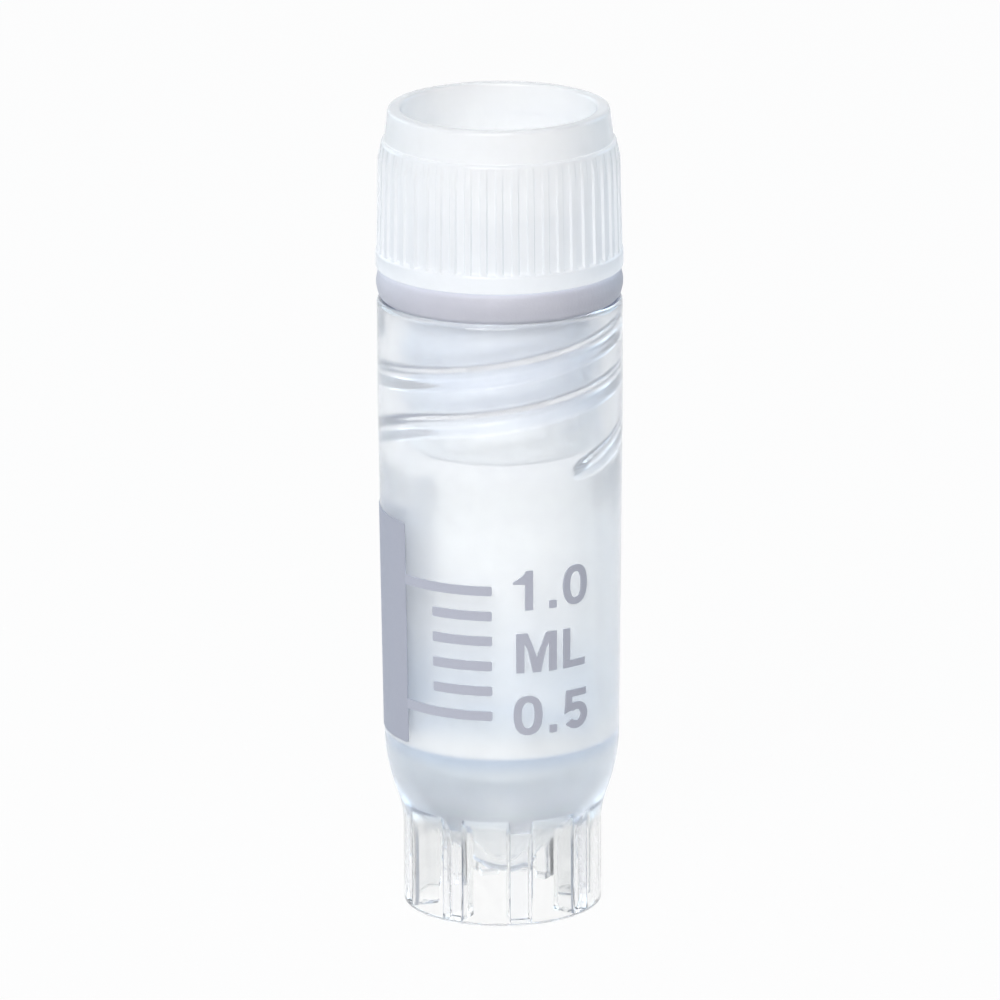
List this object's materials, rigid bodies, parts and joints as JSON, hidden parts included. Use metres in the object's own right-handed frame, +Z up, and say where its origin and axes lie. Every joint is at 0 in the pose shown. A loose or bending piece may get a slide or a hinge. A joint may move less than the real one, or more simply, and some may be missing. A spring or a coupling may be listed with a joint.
{
  "type": "cryogenic storage vial",
  "caption": "Small translucent screw-cap vial with a star foot, an internal thread, a sealing gasket, a knurled cap with an open top recess, and a printed scale.",
  "frame": {"origin": "centre of the foot, on the plane the vial stands on", "axes": "+Z up along the vial's axis, -Y towards the graduation scale, +X to the right of it"},
  "size_m": [0.0126, 0.0126, 0.0421],
  "materials": {
    "tube_plastic": "clear to milky natural polypropylene, glossy outside",
    "cap_plastic": "milky natural polypropylene, satin gloss",
    "gasket_silicone": "smooth grey silicone, soft satin",
    "patch_ink": "matt grey-lilac screen ink to write on",
    "mark_ink": "matt grey-lilac screen ink"
  },
  "bodies": {
    "vial": {"tube": "tube_plastic", "writing_patch": "patch_ink", "graduation_ticks": "mark_ink", "graduation_figures": "mark_ink"},
    "gasket": {"gasket": "gasket_silicone"},
    "cap": {"cap": "cap_plastic"}
  },
  "joints": [
    {"name": "cap_lift", "type": "slide", "parent": "vial", "child": "gasket", "axis": [0, 0, 1], "range_m": [0, 0.006]},
    {"name": "cap_turn", "type": "hinge", "parent": "gasket", "child": "cap", "pos_m": [0, 0, 0.03387], "axis": [0, 0, 1], "range_deg": [0, 441]}
  ],
  "couplings": [
    {"joint": "cap_turn", "follows": "cap_lift", "rad_per_m": 1282.3}
  ]
}
